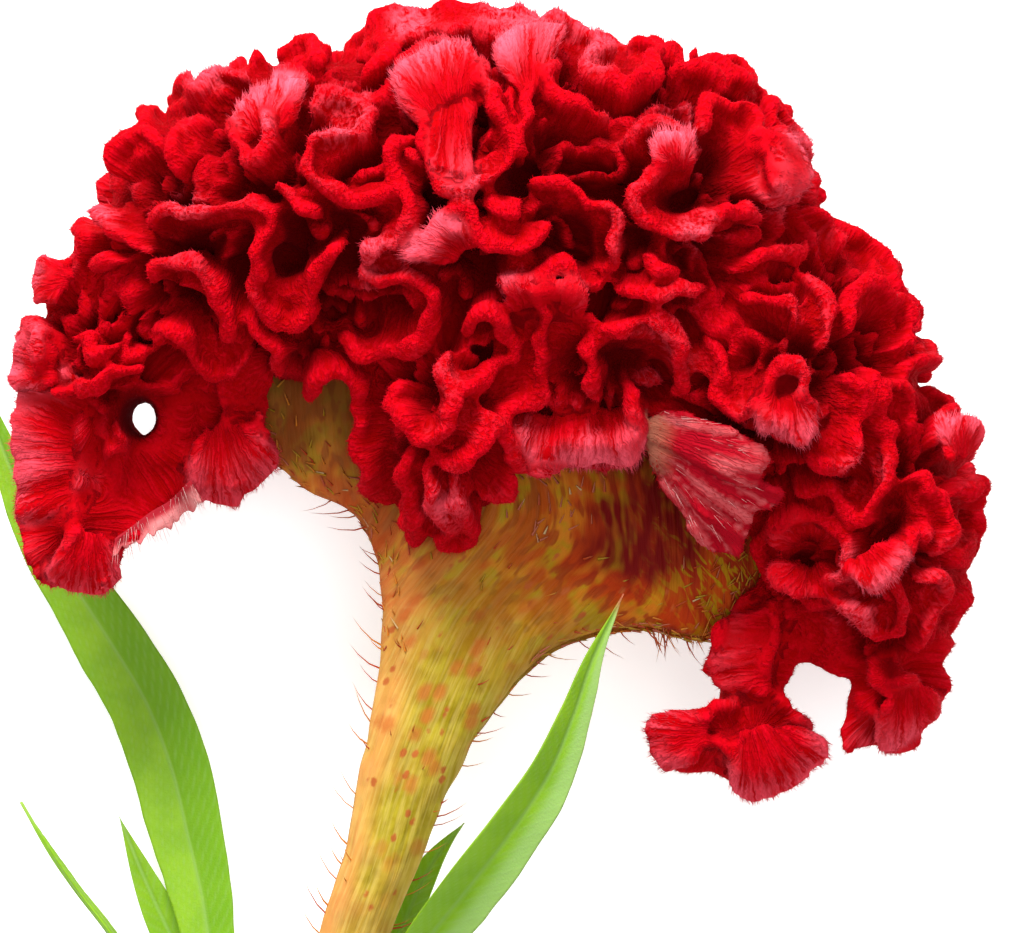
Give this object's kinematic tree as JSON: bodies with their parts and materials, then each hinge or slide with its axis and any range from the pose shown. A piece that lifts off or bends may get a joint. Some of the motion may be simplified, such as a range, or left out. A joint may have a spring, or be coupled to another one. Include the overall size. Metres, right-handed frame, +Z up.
{
  "type": "celosia flower",
  "caption": "Cut cockscomb celosia lying on its back: a broad arched crest of velvety ruffled folds on a flattened, bristly stalk with lance-shaped leaves.",
  "frame": {"origin": "middle of the underside of the bounding box, on the surface that the flower lies on", "axes": "+Y from the cut end of the stalk towards the crown, +Z up out of the front of the flower, +X to the right of the crest as seen from the front"},
  "size_m": [0.1564, 0.2006, 0.0626],
  "materials": {
    "crest": "velvety crimson petals",
    "stalk": "ribbed yellow-green stalk with orange flush",
    "leaf": "satin green leaf"
  },
  "bodies": {
    "root": {"crest": "crest", "stalk": "stalk", "leaf_right_large": "leaf", "leaf_right_small": "leaf", "leaf_left_large": "leaf", "leaf_left_small": "leaf", "leaf_left_edge": "leaf"}
  },
  "joints": []
}
